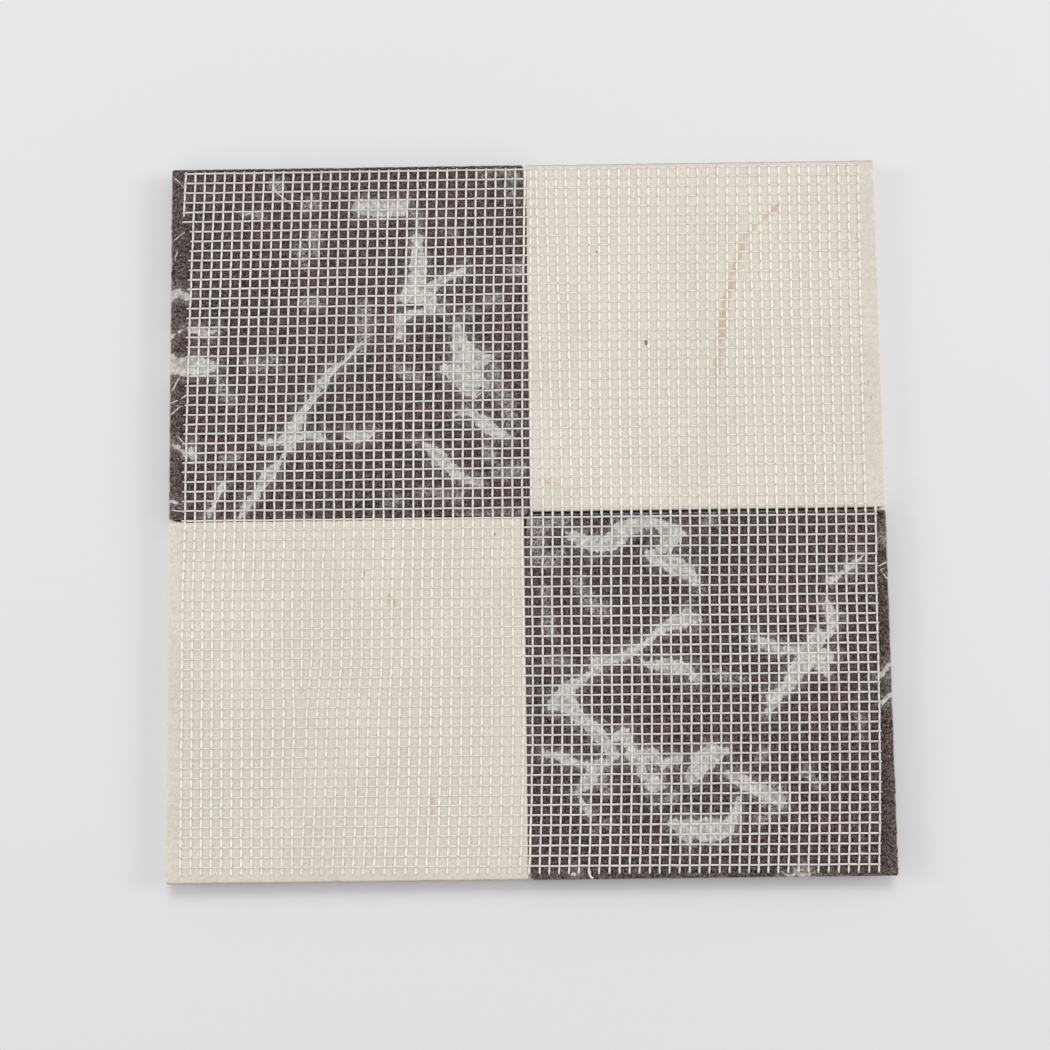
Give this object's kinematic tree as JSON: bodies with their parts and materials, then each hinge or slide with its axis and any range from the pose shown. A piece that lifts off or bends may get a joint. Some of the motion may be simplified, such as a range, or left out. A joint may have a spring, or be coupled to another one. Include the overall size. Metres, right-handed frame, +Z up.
{
  "type": "mosaic tile sheet",
  "caption": "Square chequer sheet of dark veined and cream marble mosaic tiles, held together by an open glass-fibre net glued to their backs, lying finished face down.",
  "frame": {"origin": "centre of the sheet, at the level of the finished faces, which lie on the floor", "axes": "+Z up out of the net side, +X to the right and +Y away from the viewer as the sheet lies net side up with a dark tile at its back left"},
  "size_m": [0.305, 0.305, 0.0108],
  "materials": {
    "dark_marble": "sawn back with pale calcite veins",
    "cream_marble": "sawn back, nearly plain",
    "glass_fibre": "resin-coated glass-fibre net"
  },
  "bodies": {
    "root": {"dark_tile_back_left": "dark_marble", "cream_tile_back_right": "cream_marble", "cream_tile_front_left": "cream_marble", "dark_tile_front_right": "dark_marble", "fibre_net_row1_col1": "glass_fibre", "fibre_net_row1_col2": "glass_fibre", "fibre_net_row1_col3": "glass_fibre", "fibre_net_row1_col4": "glass_fibre", "fibre_net_row2_col1": "glass_fibre", "fibre_net_row2_col2": "glass_fibre", "fibre_net_row2_col3": "glass_fibre", "fibre_net_row2_col4": "glass_fibre", "fibre_net_row3_col1": "glass_fibre", "fibre_net_row3_col2": "glass_fibre", "fibre_net_row3_col3": "glass_fibre", "fibre_net_row3_col4": "glass_fibre", "fibre_net_row4_col1": "glass_fibre", "fibre_net_row4_col2": "glass_fibre", "fibre_net_row4_col3": "glass_fibre", "fibre_net_row4_col4": "glass_fibre"}
  },
  "joints": []
}
